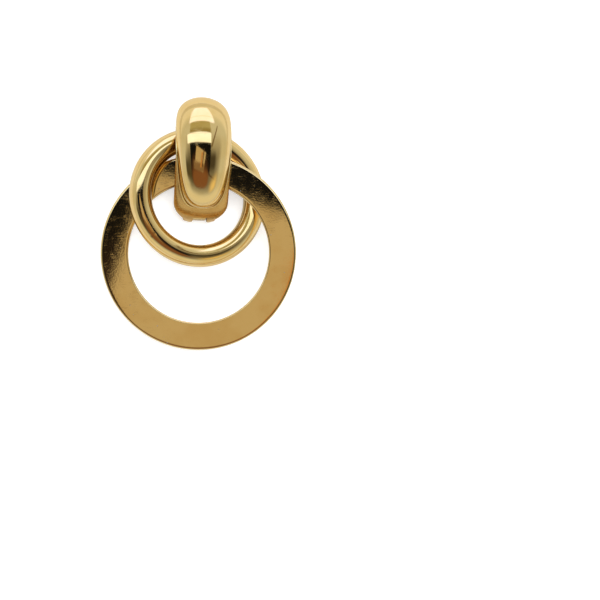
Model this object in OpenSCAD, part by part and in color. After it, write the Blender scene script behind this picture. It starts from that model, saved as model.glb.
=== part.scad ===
// Doorknocker clip earring, in millimetres, lying on its back as it is put down.
// +Z points up from the surface, +Y to the top of the dome, +X to the right seen from the front.
// A round ring and a flat ring pass through the hoop and through each other. The clip's paddle
// lies under the hoop and turns on a pin between the two ears at the hoop's foot.

/* [Flat ring] */
// Outer diameter of the flat ring
flat_d = 44.6; // [44.2:0.1:45]
// Width of its band
flat_band = 6.2; // [5.8:0.1:6.2]
// Thickness of its plate
flat_t = 1.4; // [1.2:0.1:1.4]
// Width of the bevel round its front outer edge
flat_bevel = 0.5; // [0.2:0.1:0.7]
// Rise of the plate for each millimetre to the right
flat_rise_x = 0.16; // [0.16:0.005:0.17]
// Rise of the plate for each millimetre towards the dome
flat_rise_y = 0.03; // [0.03:0.005:0.04]

/* [Round ring] */
// Diameter of the ring's centre line
round_d = 27; // [26.8:0.1:27.2]
// Diameter of its tube
round_tube = 5.1; // [4.6:0.1:5.1]
// Fall of the ring for each millimetre to the right
round_fall = 0.165; // [0.16:0.005:0.17]
// Height of its centre above the surface
round_z = 4.84; // [4.84:0.01:4.9]

/* [Hoop] */
// Length of the hoop's band, from its foot to its top
band_len = 27.5; // [27.3:0.1:27.7]
// Width of the band
band_w = 12.5; // [12:0.1:13]
// Thickness of the band at the front
band_t = 0.9; // [0.8:0.1:0.9]
// Height of the band's front face above the surface
band_front = 10.6; // [10.5:0.1:10.8]
// Fall of the band's lower front face from its middle to its edges
band_crown = 1.8; // [0.5:0.1:1.9]
// How far the highest place of the band lies from its middle towards the top
band_lean = 2.6; // [2.4:0.1:2.8]
// Radius of the band's two rear corners
corner_r = 1.4; // [1.3:0.1:1.5]
// Thickness of the rear bar
bar_t = 0.7; // [0.6:0.1:0.8]
// Width of the rear bar
bar_w = 4.4; // [4:0.2:5]

/* [Dome] */
// Width of the domed petal
dome_w = 12.4; // [12:0.1:13]
// Rise of the dome above the band
dome_h = 3.5; // [3:0.1:3.8]
// Wall of the hollow dome
dome_wall = 1; // [0.8:0.1:1.2]
// Width of the thin rim round the lower part of the dome
rim_w = 0.35; // [0.2:0.05:0.5]
// Height of the rim above the band
rim_h = 0.35; // [0.2:0.05:0.5]

/* [Clip] */
// Thickness of the paddle
paddle_t = 0.7; // [0.6:0.05:0.7]
// Width of the paddle's oval pad
paddle_w = 10.4; // [8:0.1:11]
// Length of the paddle, from the hinge to its tip
paddle_len = 23; // [20:0.5:24]
// Diameter of the hinge pin
pin_d = 0.9; // [0.8:0.05:1]
// Width of the slot between the two hinge ears
slot_w = 3.3; // [3:0.1:3.4]
// Thickness of each ear
ear_t = 2.3; // [2.2:0.1:2.4]
// Radius of each ear
ear_r = 1.6; // [1.5:0.05:1.65]

/* [Hidden] */

// Colours
gold = [0.80, 0.62, 0.30];
gold_dark = [0.66, 0.49, 0.22];

// Places, measured from the foot of the band before the whole is centred
flat_below_foot = 7.32;
round_above_foot = 5.3;
hoop_x = 0.3;
round_x = -0.3;
ear_drop = -0.05;
lift = 0.15;
run_gap = 0.05;
side_gap = 0.15;

// Radii and slopes of the flat ring
flat_ro = flat_d / 2;
flat_ri = flat_ro - flat_band;
flat_slope = norm([flat_rise_x, flat_rise_y]);
flat_tilt = atan(flat_slope);
flat_tilt_y = atan(flat_rise_y);

// Flat ring: its lowest edge lies on the surface
edge = 0.15;
flat_z = (flat_ro - edge) * sin(flat_tilt) + (flat_t / 2) * cos(flat_tilt);
flat_turn = atan2(-flat_rise_y, -flat_rise_x);

// Band, seen from the side: half an oval that leans to the top, two rear corners and a straight rear
bar_z = paddle_t + lift;
corner_z = bar_z + corner_r;
half_len = band_len / 2;
front_rise = band_front - corner_z;
foot_round = 3.4;
top_round = 6.1;
front_steps = 32;
corner_steps = 6;
rear_steps = 14;

// The band turns into the rear bar from this angle of its normal on, and narrows over this length
bar_from = 35;
narrow_y = 3;
narrow_run = 5;

// Its edges fall below this length from the foot, fully after this run, and fade towards the rear bar
crown_y = 16;
crown_run = 8;
crown_fade = 3;

// Hinge at the foot of the band
hinge_y = ear_r - ear_drop;
hinge_z = ear_r + lift;
knuckle_r = 0.95;
swing_r = norm([knuckle_r, hinge_z]) + side_gap;
slot_top = 4.4;
ear_round = 1.5;
foot_half = slot_w / 2 + ear_t - 0.35;
pin_r = pin_d / 2;
pin_len = slot_w + 2 * ear_t;

// Angle from +Z of the front's outward normal, at a turn from -90 at the foot to 90 at the top
function normal_at(p) = atan2(front_rise * sin(p), cos(p) * (half_len - 2 * band_lean * sin(p)));

// A point of the front at such a turn, raised along its normal
function on_front(p, rise) = let (a = normal_at(p))
    [half_len + half_len * sin(p) + band_lean * pow(cos(p), 2) + rise * sin(a),
        corner_z + front_rise * cos(p) + rise * cos(a)];

// The turn at which the front passes a length y from its foot
function turn_at(y) =
    asin((half_len - sqrt(pow(half_len, 2) + 4 * band_lean * (band_lean + half_len - y))) / (2 * band_lean));

// A point of a rear corner, from its centre's length and the angle of its normal
function on_corner(y, a) = [y + corner_r * sin(a), corner_z + corner_r * cos(a)];

// Share of the rear bar in the band, from the angle of its normal
function bar_share(a) = max(0, (abs(a) - bar_from) / (180 - bar_from));

// A station of the band is [y, z, angle of its outward normal from +Z, share of the rear bar]
front_part = [for (i = [0 : front_steps - 1])
    let (p = 90 - 180 * i / front_steps, a = normal_at(p)) concat(on_front(p, 0), [a, bar_share(a)])];
foot_part = [for (i = [0 : corner_steps - 1])
    let (a = -90 - 90 * i / corner_steps) concat(on_corner(corner_r, a), [a, bar_share(a)])];
rear_part = [for (i = [0 : rear_steps - 1])
    [corner_r + (band_len - 2 * corner_r) * i / rear_steps, bar_z, -180, 1]];
top_part = [for (i = [0 : corner_steps - 1])
    let (a = 180 - 90 * i / corner_steps) concat(on_corner(band_len - corner_r, a), [a, bar_share(a)])];
stations = concat(front_part, foot_part, rear_part, top_part);

// Half the width of the band: a front with round ends, a foot as wide as the ears, a narrow rear bar
function round_in(d, r) = d >= r ? 0 : r - sqrt(max(0, pow(r, 2) - pow(r - d, 2)));
function smooth(t) = let (c = min(1, max(0, t))) c * c * (3 - 2 * c);
function mix(a, b, t) = a + (b - a) * t;
function at_least(a, b) = pow(pow(a, 6) + pow(b, 6), 1 / 6);
function front_half(y) = y < half_len
    ? at_least(band_w / 2 - round_in(y, foot_round), foot_half)
    : at_least(band_w / 2 - round_in(band_len - y, top_round), bar_w / 2);
function rear_half(y) = mix(foot_half, bar_w / 2, smooth((y - narrow_y) / narrow_run));
function band_half(st) = mix(front_half(st[0]), rear_half(st[0]), st[3]);
function band_wall(st) = band_t + (bar_t - band_t) * st[3];

// Fall towards the band's edges: none behind the wide upper dome, most below it, little at the foot
function crown(st) = band_crown * smooth((crown_y - st[0]) / crown_run) * pow(1 - st[3], crown_fade);

// A section of the band, as [x, depth below the outer middle line]
outer_cuts = 10;
inner_cuts = 6;
edge_in = 0.12;
inner_follow = 0.75;
function band_section(w, t, fall) = concat(
    [for (j = [0 : outer_cuts])
        let (a = 180 * j / outer_cuts) [w * cos(a), fall * (1 - sin(a))]],
    [for (j = [0 : inner_cuts])
        let (u = 2 * j / inner_cuts - 1) [(w - edge_in) * u, t + inner_follow * fall * pow(u, 2)]]);

// A point at depth d below a station's outer line
function below(st, x, d) = [x, st[0] - d * sin(st[2]), st[1] - d * cos(st[2])];

// A closed skin over rings of equal length, joined end to end
function loop_faces(n, m) = [for (i = [0 : n - 1], j = [0 : m - 1])
    let (a = i * m + j, b = i * m + (j + 1) % m,
        c = ((i + 1) % n) * m + j, d = ((i + 1) % n) * m + (j + 1) % m)
    each [[a, c, b], [b, c, d]]];

module band() {
    rings = [for (st = stations)
        [for (p = band_section(band_half(st), band_wall(st), crown(st))) below(st, p[0], p[1])]];
    polyhedron(points = [for (ring = rings) each ring],
        faces = loop_faces(len(rings), len(rings[0])), convexity = 6);
}

// Domed petal: an egg bent along the band's front, with round ends
egg_bias = 0.16;
egg_blunt = 0.7;
tip_blunt = 0.6;
egg_rise = 0.5;
tip_y = 3;
top_y = 26.6;
// The rim is wider than the dome by a margin, which takes some turn of the front at the tip
tip_turn = 5.5;
egg_mid = (turn_at(top_y) + turn_at(tip_y)) / 2;
egg_span = (turn_at(top_y) - turn_at(tip_y)) / 2;

// How far the dome and its rim reach down into the band, and the dome's hollow
dome_seat = 0.5;
dome_belly = 3.4;
rim_seat = 0.3;
hollow_in = 0.3;
hollow_deep = 2.6;
hollow_trim = 3;
rim_rings = 26;
hollow_rings = 22;
small_around = 20;

// The rim starts, reaches its width and closes in at these degrees from the egg's top end
rim_start = 75;
rim_grow = 40;
rim_close = 140;

// Half width along the egg, with a margin that starts below its widest place and closes at the tip
function margin(add, t) = add * smooth((t - rim_start) / rim_grow) * min(1, sqrt(sin(t) / sin(rim_close)));
function egg_half(w, add, t) = w / 2 * pow(sin(t), t > 90 ? tip_blunt : egg_blunt)
    * (1 + egg_bias * cos(t) * (t > 90 ? 1 + cos(t) : 1)) + margin(add, t);
function egg_high(h, t) = h * pow(sin(t), egg_rise);

belly_end = 50;
belly_grow = 40;

// Depth of the egg's underside, fuller at the top end where the dome turns down to the rear
function egg_deep(depth, belly, t) = (depth + belly * smooth((belly_end - t) / belly_grow)) * sqrt(sin(t));
function egg_point(w, h, depth, belly, add, trim, t, f) =
    let (p = egg_mid + (egg_span - trim) * cos(t) + (t > 90 ? tip_turn * add * cos(t) : 0),
        rise = (sin(f) >= 0 ? egg_high(h, t) : egg_deep(depth, belly, t)) * sin(f),
        at = on_front(p, rise))
    [egg_half(w, add, t) * cos(f), at[0], at[1]];

// The whole is centred on its box: the flat ring reaches lowest and the dome highest along Y
dome_rings = 34;
dome_around = 28;
low_y = -flat_below_foot - flat_ro * cos(flat_tilt_y) - flat_t / 2 * sin(flat_tilt_y);
high_y = max([for (i = [1 : dome_rings], j = [0 : dome_around / 2])
    egg_point(dome_w, dome_h, 0, 0, 0, 0, 180 * i / (dome_rings + 1), 360 * j / dome_around)[1]]);
foot_y = -(high_y + low_y) / 2;

// Rings of an egg between its two poles
function egg_faces(n, m) = concat(
    [for (j = [0 : m - 1]) [0, 1 + j, 1 + (j + 1) % m]],
    [for (i = [0 : n - 2], j = [0 : m - 1])
        let (a = 1 + i * m + j, b = 1 + i * m + (j + 1) % m)
        each [[a, a + m, b], [b, a + m, b + m]]],
    [for (j = [0 : m - 1]) [1 + (n - 1) * m + j, 1 + n * m, 1 + (n - 1) * m + (j + 1) % m]]);

module egg(w, h, depth, belly, add, trim, n, m) {
    body = [for (i = [1 : n], j = [0 : m - 1])
        egg_point(w, h, depth, belly, add, trim, 180 * i / (n + 1), 360 * j / m)];
    polyhedron(points = concat([egg_point(w, h, depth, belly, add, trim, 0, 0)], body,
            [egg_point(w, h, depth, belly, add, trim, 180, 0)]),
        faces = egg_faces(n, m), convexity = 4);
}

module cross_pin(r, w) {
    translate([0, hinge_y, hinge_z]) rotate([0, 90, 0]) cylinder(r = r, h = w, center = true, $fn = 48);
}

module place_hoop() {
    translate([hoop_x, foot_y, 0]) children();
}

// One hinge ear, round about the pin, with a soft outer edge
module ear() {
    inner = slot_w / 2;
    outer = inner + ear_t;
    translate([0, hinge_y, hinge_z]) rotate([0, 90, 0]) rotate_extrude($fn = 64) {
        translate([0, inner]) square([ear_r, ear_t - ear_round]);
        translate([0, inner]) square([ear_r - ear_round, ear_t]);
        translate([ear_r - ear_round, outer - ear_round]) intersection() {
            circle(r = ear_round, $fn = 64);
            square(ear_round);
        }
    }
}

// Hoop with its hollow dome, rim and hinge ears, one soldered solid
module hoop() {
    color(gold) place_hoop() difference() {
        union() {
            band();
            egg(dome_w, dome_h, dome_seat, dome_belly, 0, 0, dome_rings, dome_around);
            egg(dome_w, rim_h, rim_seat, 0, rim_w, 0, rim_rings, small_around);
            ear();
            mirror([1, 0, 0]) ear();
        }
        egg(dome_w - 2 * (dome_wall + hollow_in), dome_h - dome_wall, hollow_deep, 0, 0, hollow_trim,
            hollow_rings, small_around);
        cross_pin(swing_r, slot_w);
        translate([-slot_w / 2, -1, hinge_z]) cube([slot_w, 1 + hinge_y, slot_top - hinge_z]);
        cross_pin(pin_r, pin_len + 1);
    }
}

module round_ring() {
    color(gold) translate([round_x, foot_y + round_above_foot, round_z])
        rotate([0, atan(round_fall), 0])
            rotate_extrude($fn = 128) translate([round_d / 2, 0]) circle(d = round_tube, $fn = 48);
}

// Section of the flat ring: a wide bevel at the front outer edge and small ones at the others
module flat_section() {
    h = flat_t / 2;
    polygon([[flat_ri + edge, -h], [flat_ro - edge, -h], [flat_ro, edge - h],
        [flat_ro, h - flat_bevel / 2], [flat_ro - flat_bevel, h],
        [flat_ri + edge * 2, h], [flat_ri, h - edge * 2], [flat_ri, edge - h]]);
}

module flat_ring() {
    color(gold_dark) translate([0, foot_y - flat_below_foot, flat_z])
        rotate([0, 0, flat_turn]) rotate([0, flat_tilt, 0]) rotate_extrude($fn = 160) flat_section();
}

// Paddle: a tongue from the knuckle that widens to an oval pad
module paddle_outline() {
    tongue_w = slot_w - 2 * side_gap;
    neck_y = ear_r + 0.3;
    pad_y = paddle_len - paddle_w / 2;
    translate([-tongue_w / 2, -knuckle_r]) square([tongue_w, neck_y + knuckle_r + 1]);
    polygon([[-tongue_w / 2, neck_y], [tongue_w / 2, neck_y], [paddle_w / 2, pad_y], [-paddle_w / 2, pad_y]]);
    translate([0, pad_y]) circle(d = paddle_w, $fn = 96);
}

module clip_paddle() {
    tongue_w = slot_w - 2 * side_gap;
    color(gold) place_hoop() difference() {
        union() {
            translate([0, hinge_y, 0]) linear_extrude(paddle_t) paddle_outline();
            cross_pin(knuckle_r, tongue_w);
            translate([-tongue_w / 2, hinge_y - knuckle_r, 0]) cube([tongue_w, 2 * knuckle_r, hinge_z]);
        }
        cross_pin(pin_r + run_gap, tongue_w + 1);
    }
}

module hinge_pin() {
    color(gold_dark) place_hoop() cross_pin(pin_r, pin_len);
}

hoop();
round_ring();
flat_ring();
clip_paddle();
hinge_pin();
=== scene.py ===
# %% [markdown]
# # A doorknocker clip earring in polished gold plate
# The real earring is five pieces of plated metal: a domed hoop, a round tube ring, a flat plate ring,
# a clip paddle and the pin it turns on. Polished gold has almost no look of its own: it shows what
# stands round it. So two things matter here: smooth, true surfaces, and a studio worth mirroring.

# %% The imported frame
import math

import bmesh
import bpy
import numpy as np
from mathutils import Matrix, Vector


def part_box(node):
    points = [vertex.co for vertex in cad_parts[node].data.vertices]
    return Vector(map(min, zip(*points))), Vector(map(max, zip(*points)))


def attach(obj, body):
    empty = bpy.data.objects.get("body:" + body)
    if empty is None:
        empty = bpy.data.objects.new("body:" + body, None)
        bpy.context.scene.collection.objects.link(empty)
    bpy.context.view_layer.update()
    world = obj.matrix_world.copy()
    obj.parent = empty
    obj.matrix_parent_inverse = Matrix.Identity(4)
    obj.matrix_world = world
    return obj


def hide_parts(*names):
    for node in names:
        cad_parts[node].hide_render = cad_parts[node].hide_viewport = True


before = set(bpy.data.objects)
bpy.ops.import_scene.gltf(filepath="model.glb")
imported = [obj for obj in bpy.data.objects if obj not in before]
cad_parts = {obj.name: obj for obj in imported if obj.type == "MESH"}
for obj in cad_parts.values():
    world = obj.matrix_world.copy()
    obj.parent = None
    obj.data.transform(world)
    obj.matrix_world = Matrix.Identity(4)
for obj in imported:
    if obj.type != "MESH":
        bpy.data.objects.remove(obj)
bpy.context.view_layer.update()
MM = 0.001

# %% [markdown]
# ## Where the hoop stands
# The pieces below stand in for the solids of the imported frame, so they use the same measures, in
# millimetres. Everything is measured from the foot of the hoop's band. That place could be typed in,
# but it is found from the frame's hinge pin, so that the looks stay on the solids if all is moved.

# %% The foot of the hoop
EAR_R, EAR_DROP, LIFT = 1.6, -0.05, 0.15

hinge_y, hinge_z = EAR_R - EAR_DROP, EAR_R + LIFT
pin_low, pin_high = (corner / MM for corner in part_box("hinge_pin"))
hoop_x = (pin_low.x + pin_high.x) / 2
foot_y = (pin_low.y + pin_high.y) / 2 - hinge_y
print(f"the hoop stands at x {hoop_x:.2f} mm and its foot at y {foot_y:.2f} mm")

# %% [markdown]
# ## Node groups for wear and painted shade
# What wear does to plated metal is the same on every piece, only more or less of it, and so is the
# shade painted into its creases. Copied nodes would have to be tuned in every material. So each
# effect is one node group with named sockets, built once, and each material sets its own amounts. A
# few helpers keep the groups short.

# %% Helpers for node groups
FLOAT, COLOR, VECTOR = "NodeSocketFloat", "NodeSocketColor", "NodeSocketVector"


def group(name, inputs, outputs):
    """A new shader node group with its sockets."""
    tree = bpy.data.node_groups.new(name, "ShaderNodeTree")
    for label, kind, value in inputs:
        socket = tree.interface.new_socket(label, in_out="INPUT", socket_type=kind)
        socket.default_value = value
    for label, kind in outputs:
        tree.interface.new_socket(label, in_out="OUTPUT", socket_type=kind)
    return tree, tree.nodes.new("NodeGroupInput"), tree.nodes.new("NodeGroupOutput")


def feed(tree, socket, value):
    """Gives an input a value, or links an output to it."""
    if isinstance(value, bpy.types.NodeSocket):
        tree.links.new(value, socket)
    else:
        socket.default_value = value


def add(tree, kind, sockets=None, **settings):
    """A node with its settings, and its inputs by name or number: values, or outputs of other nodes."""
    node = tree.nodes.new("ShaderNode" + kind)
    for key, value in settings.items():
        setattr(node, key, value)
    for key, value in (sockets or {}).items():
        feed(tree, node.inputs[key], value)
    return node


def math_node(tree, operation, *values, clamp=False):
    """A math node on values or outputs; its own output."""
    return add(tree, "Math", dict(enumerate(values)), operation=operation, use_clamp=clamp).outputs[0]


def between(tree, value, low, high, to_low=0.0, to_high=1.0):
    """Maps low..high to to_low..to_high, clamped, with a smooth step."""
    sockets = {0: value, 1: low, 2: high, 3: to_low, 4: to_high}
    return add(tree, "MapRange", sockets, interpolation_type="SMOOTHSTEP").outputs[0]


print("kinds of socket:", FLOAT, COLOR, VECTOR)

# %% [markdown]
# ### Hair-fine scratches
# Wiping and wearing leave hairlines in every direction. A picture of scratches would need a flat map
# of each piece. Cells stretched to slivers need none: in three layers, each turned another way, only
# the cells' thin borders are kept, and a noise breaks them into short lines.

# %% Group: hair-fine scratches
SCRATCH_LAYERS = ((0.4, 9.0), (1.5, 12.0), (2.6, 7.0))  # turn in radians, stretch
BORDER, BREAK_FROM, BREAK_TO = 0.018, 0.55, 0.66

scratches, s_in, s_out = group(
    "hairline_scratches", [("Scale", FLOAT, 300.0), ("Amount", FLOAT, 0.5)], [("Mask", FLOAT)])
coords = add(scratches, "TexCoord").outputs["Object"]
layers = []
for turn, stretch in SCRATCH_LAYERS:
    slivers = add(scratches, "Mapping",
                  {"Vector": coords, "Rotation": (0.0, 0.0, turn), "Scale": (1.0, stretch, 1.0)})
    cells = add(scratches, "TexVoronoi", {"Vector": slivers.outputs[0], "Scale": s_in.outputs["Scale"]},
                feature="DISTANCE_TO_EDGE")
    gap_scale = math_node(scratches, "MULTIPLY", s_in.outputs["Scale"], 0.8 + turn / 3)
    gaps = add(scratches, "TexNoise", {"Vector": coords, "Scale": gap_scale, "Detail": 1.0})
    line = between(scratches, cells.outputs["Distance"], 0.0, BORDER, 1.0, 0.0)
    broken = between(scratches, gaps.outputs[0], BREAK_FROM, BREAK_TO)
    layers.append(math_node(scratches, "MULTIPLY", line, broken))
most = math_node(scratches, "MAXIMUM", math_node(scratches, "MAXIMUM", layers[0], layers[1]), layers[2])
masked = math_node(scratches, "MULTIPLY", most, s_in.outputs["Amount"], clamp=True)
feed(scratches, s_out.inputs["Mask"], masked)
print(scratches.name, "has", len(scratches.nodes), "nodes in", len(layers), "layers")

# %% [markdown]
# ### Specks of dust
# Dust lies on the metal as single pale dots, a few here and there. A noise would make clouds of it.
# Cells make dots: the middle of a cell is a dot, and only a small share of the cells is chosen.

# %% Group: specks of dust
specks, d_in, d_out = group(
    "dust_specks", [("Scale", FLOAT, 900.0), ("Share", FLOAT, 0.1), ("Size", FLOAT, 0.12)], [("Mask", FLOAT)])
coords = add(specks, "TexCoord").outputs["Object"]
cells = add(specks, "TexVoronoi", {"Vector": coords, "Scale": d_in.outputs["Scale"]}, feature="F1")
pick = add(specks, "SeparateColor", {0: cells.outputs["Color"]})
near = math_node(specks, "LESS_THAN", cells.outputs["Distance"], d_in.outputs["Size"])
chosen = math_node(specks, "LESS_THAN", pick.outputs[0], d_in.outputs["Share"])
feed(specks, d_out.inputs["Mask"], math_node(specks, "MULTIPLY", near, chosen))
print(specks.name, "has", len(specks.nodes), "nodes")

# %% [markdown]
# ### The tone of the plating
# Plating is never one colour: it is thinner on proud places and browner where fingers touched it. One
# flat colour looks like plastic, so a slow noise blends a bright gold with a deeper one.

# %% Group: the tone of the plating
DEEP_FROM, DEEP_TO = 0.38, 0.68

tone, t_in, t_out = group(
    "plating_tone", [("Bright", COLOR, (0.93, 0.70, 0.32, 1)), ("Deep", COLOR, (0.86, 0.60, 0.23, 1)),
                     ("Scale", FLOAT, 120.0)], [("Color", COLOR)])
coords = add(tone, "TexCoord").outputs["Object"]
cloud = add(tone, "TexNoise",
            {"Vector": coords, "Scale": t_in.outputs["Scale"], "Detail": 3.0, "Roughness": 0.55})
share = between(tone, cloud.outputs[0], DEEP_FROM, DEEP_TO)
blend = add(tone, "Mix", {0: share, 6: t_in.outputs["Bright"], 7: t_in.outputs["Deep"]}, data_type="RGBA")
feed(tone, t_out.inputs["Color"], blend.outputs[2])
print(tone.name, "has", len(tone.nodes), "nodes")

# %% [markdown]
# ### Polishing grain
# A polishing mop leaves a faint orange peel, and behind it slow waves that make straight reflections
# wobble. Both are a height of a few thousandths of a millimetre, so both are noises for a bump.

# %% Group: polishing grain, as a height
grain, g_in, g_out = group(
    "mop_grain", [("Scale", FLOAT, 1800.0), ("Waves", FLOAT, 250.0), ("Wave share", FLOAT, 0.5)],
    [("Height", FLOAT)])
coords = add(grain, "TexCoord").outputs["Object"]
fine = add(grain, "TexNoise",
           {"Vector": coords, "Scale": g_in.outputs["Scale"], "Detail": 2.0, "Roughness": 0.6})
slow = add(grain, "TexNoise", {"Vector": coords, "Scale": g_in.outputs["Waves"], "Detail": 0.0})
height = add(grain, "Mix", {0: g_in.outputs["Wave share"], 2: fine.outputs[0], 3: slow.outputs[0]},
             data_type="FLOAT")
feed(grain, g_out.inputs["Height"], height.outputs[0])
print(grain.name, "has", len(grain.nodes), "nodes")

# %% [markdown]
# ### Painted shade in creases
# Where other metal stands close by, less light gets in, and that shade is painted into the colour as
# a dark brown. The creases could be painted by hand. Ambient occlusion finds them on any shape, out
# to a set reach.

# %% Group: painted shade in creases
SHUT, OPEN = 0.35, 0.85

crease, c_in, c_out = group(
    "crease_painted_shade", [("Reach", FLOAT, 0.002), ("Amount", FLOAT, 0.8)], [("Mask", FLOAT)])
shut_in = add(crease, "AmbientOcclusion", {"Distance": c_in.outputs["Reach"]}, samples=8)
crease_shading = between(crease, shut_in.outputs["AO"], SHUT, OPEN, 1.0, 0.0)
feed(crease, c_out.inputs["Mask"], math_node(crease, "MULTIPLY", crease_shading, c_in.outputs["Amount"]))
print("node groups:", [g.name for g in bpy.data.node_groups])

# %% [markdown]
# ## Gold finishes
# All pieces are the same gold plate, polished more or less. The shader is a plain metal: its colour
# comes from the plating group, with painted shade laid into the creases, its roughness rises a little
# in scratches and specks, and a bump of a few thousandths of a millimetre breaks up the mirror where
# the real one is grainy.

# %% Helpers for materials
def placed_group(tree, group_tree, **sockets):
    """A node group placed in a material with its own values; its one output."""
    node = tree.nodes.new("ShaderNodeGroup")
    node.node_tree = group_tree
    for key, value in sockets.items():
        feed(tree, node.inputs[key.replace("_", " ")], value)
    return node.outputs[0]


def covered(tree, under, mask, colour):
    """A colour laid over another where the mask says."""
    return add(tree, "Mix", {0: mask, 6: under, 7: (*colour, 1)}, data_type="RGBA").outputs[2]


def bumped(tree, height, deep_mm, strength, invert=False, **under):
    """A normal from a height in millimetres, on top of the Normal under it."""
    sockets = {"Height": height, "Strength": strength, "Distance": deep_mm * MM, **under}
    return add(tree, "Bump", sockets, invert=invert).outputs[0]


print("kinds of group to place:", tone.name, crease.name, scratches.name, specks.name, grain.name)

# %% A gold finish
# The dark brown for creases is painted shade; the pale colour is dust.
CREASE_SHADE_COLOUR, DUSTY = (0.26, 0.12, 0.035), (0.62, 0.58, 0.50)
TONE_SCALE, SPECK_SCALE, SPECK_SIZE = 140.0, 1300.0, 0.16
SCRATCH_DULL, SPECK_DULL, SCRATCH_BUMP, SCRATCH_DEEP_MM = 0.35, 0.6, 0.5, 0.004


def gold(name, bright, deep, rough, grain_mm, grain_scale, waves, wave_share, scratch, scratch_scale, dust,
         reach_mm=0.6, crease_shade=0.5):
    """A gold plate; lengths are in millimetres and scales in cells to the metre."""
    mat = bpy.data.materials.new(name)
    mat.use_nodes = True
    tree = mat.node_tree
    shader = tree.nodes["Principled BSDF"]
    shader.inputs["Metallic"].default_value = 1.0

    plating = placed_group(tree, tone, Bright=(*bright, 1), Deep=(*deep, 1), Scale=TONE_SCALE)
    lines = placed_group(tree, scratches, Scale=scratch_scale, Amount=scratch)
    dots = placed_group(tree, specks, Scale=SPECK_SCALE, Share=dust, Size=SPECK_SIZE)
    height = placed_group(tree, grain, Scale=grain_scale, Waves=waves, Wave_share=wave_share)
    # Painted shade: where ambient occlusion finds a crease, the colour goes towards a dark brown.
    creases = placed_group(tree, crease, Reach=reach_mm * MM, Amount=crease_shade)

    colour = covered(tree, covered(tree, plating, creases, CREASE_SHADE_COLOUR), dots, DUSTY)
    feed(tree, shader.inputs["Base Color"], colour)
    marks = math_node(tree, "MAXIMUM", math_node(tree, "MULTIPLY", lines, SCRATCH_DULL),
                      math_node(tree, "MULTIPLY", dots, SPECK_DULL))
    feed(tree, shader.inputs["Roughness"], math_node(tree, "ADD", marks, rough, clamp=True))
    grainy = bumped(tree, height, grain_mm, 1.0)
    scratched = bumped(tree, lines, SCRATCH_DEEP_MM, SCRATCH_BUMP, invert=True, Normal=grainy)
    feed(tree, shader.inputs["Normal"], scratched)
    return mat


print("tarnished gold is", CREASE_SHADE_COLOUR, "and dusty gold", DUSTY)

# %% [markdown]
# ### The six finishes
# The dome and the tube ring are mirrors with slow waves. The plate is buffed flat and grainier, the
# band was only brushed, and its gold is a darker, browner copy, which is painted shade; its creases
# also get the darkest painted shade. The clip is satin, since nobody sees it.

# %% Finishes
BRIGHT_GOLD, DEEP_GOLD = (0.93, 0.70, 0.33), (0.88, 0.63, 0.26)
finishes = {
    "dome": gold("dome_mirror_gold", BRIGHT_GOLD, DEEP_GOLD, rough=0.055,
                 grain_mm=0.0006, grain_scale=1500, waves=160, wave_share=0.8,
                 scratch=0.5, scratch_scale=260, dust=0.004, reach_mm=0.35, crease_shade=0.6),
    # The bead's gold is lighter than the others: a painted highlight, so it shows as a bright line.
    "bead": gold("bead_gold_painted_highlight", (1.0, 0.84, 0.44), (0.98, 0.78, 0.38), rough=0.15,
                 grain_mm=0.0006, grain_scale=1500, waves=160, wave_share=0.5,
                 scratch=0.2, scratch_scale=260, dust=0.004, reach_mm=0.1, crease_shade=0.1),
    # The band's gold is darker and browner than the others: painted shade.
    "band": gold("band_satin_gold_painted_shade", (0.72, 0.46, 0.17), (0.62, 0.37, 0.12), rough=0.26,
                 grain_mm=0.002, grain_scale=2400, waves=200, wave_share=0.5,
                 scratch=0.6, scratch_scale=300, dust=0.01, reach_mm=2.6, crease_shade=0.8),
    "tube": gold("tube_mirror_gold", BRIGHT_GOLD, DEEP_GOLD, rough=0.07,
                 grain_mm=0.0012, grain_scale=1500, waves=200, wave_share=0.7,
                 scratch=0.5, scratch_scale=240, dust=0.006),
    "plate": gold("plate_buffed_gold", (0.93, 0.71, 0.34), (0.88, 0.64, 0.28), rough=0.04,
                  grain_mm=0.0035, grain_scale=2600, waves=300, wave_share=0.3,
                  scratch=0.35, scratch_scale=300, dust=0.05),
    "clip": gold("clip_satin_gold", (0.88, 0.65, 0.29), (0.80, 0.56, 0.22), rough=0.16,
                 grain_mm=0.003, grain_scale=2400, waves=260, wave_share=0.4,
                 scratch=0.8, scratch_scale=320, dust=0.02),
}
print("finishes:", sorted(m.name for m in finishes.values()))

# %% [markdown]
# ## Helpers for skins
# Turned, bent and swept metal is all one kind of surface: closed rings of points, one after the
# other, joined by quads. Sculpting would never be so even, and a mirror shows the smallest dent. One
# helper makes the faces, one makes the Blender object, and one gives the matrix of a place.

# %% Skins from rings of points
def skin_faces(rings, around, closed=True):
    """Quads over rings of equal length; closed joins the last ring to the first."""
    faces = []
    for i in range(rings if closed else rings - 1):
        a, b = i * around, ((i + 1) % rings) * around
        for j in range(around):
            k = (j + 1) % around
            faces.append((a + j, a + k, b + k, b + j))
    return faces


def end_faces(rings, around):
    """One flat face over the first ring and one over the last."""
    return [tuple(range(around)), tuple(range((rings - 1) * around, rings * around))]


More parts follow.
